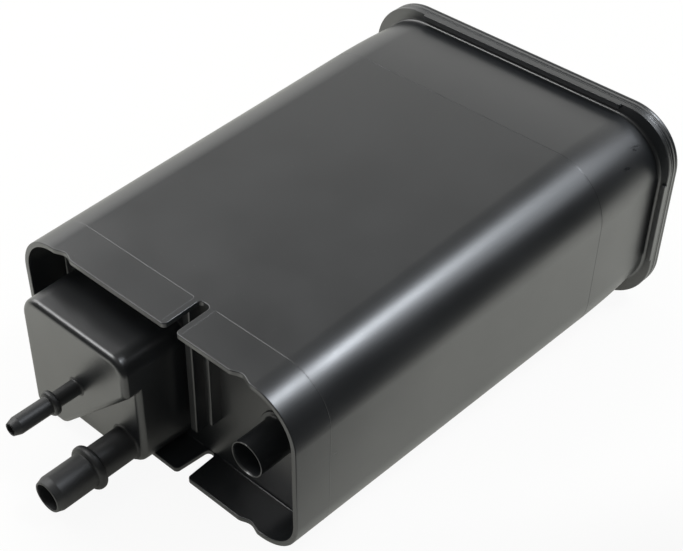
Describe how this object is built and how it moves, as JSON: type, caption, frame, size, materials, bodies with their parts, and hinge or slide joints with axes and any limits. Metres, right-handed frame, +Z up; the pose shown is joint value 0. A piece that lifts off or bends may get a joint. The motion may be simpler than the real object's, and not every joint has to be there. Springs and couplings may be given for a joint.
{
  "type": "charcoal canister",
  "caption": "Fuel-vapour charcoal canister: a drafted black moulded body with an open front skirt, port box with hose ports, vent tube and welded rear cover over packed carbon.",
  "frame": {"origin": "centre of the footprint, level with the underside of the weld flange", "axes": "+X across the body towards the vent tube, +Y from the ports to the rear cover, +Z up"},
  "size_m": [0.172, 0.2868, 0.1034],
  "materials": {
    "shell_plastic": "fine satin moulded nylon",
    "carbon": "packed granules",
    "felt": "needled felt",
    "inner_plastic": "matte moulded nylon",
    "spring_steel": "drawn wire"
  },
  "bodies": {
    "root": {"canister_body": "shell_plastic", "rear_cover": "shell_plastic", "main_carbon_bed": "carbon", "vent_carbon_bed": "carbon", "main_front_pad": "felt", "vent_front_pad": "felt", "main_rear_pad": "felt", "vent_rear_pad": "felt", "main_front_grid": "inner_plastic", "vent_front_grid": "inner_plastic", "main_retainer_plate": "inner_plastic", "vent_retainer_plate": "inner_plastic", "main_spring_left": "spring_steel", "main_spring_right": "spring_steel", "vent_spring": "spring_steel"}
  },
  "joints": []
}
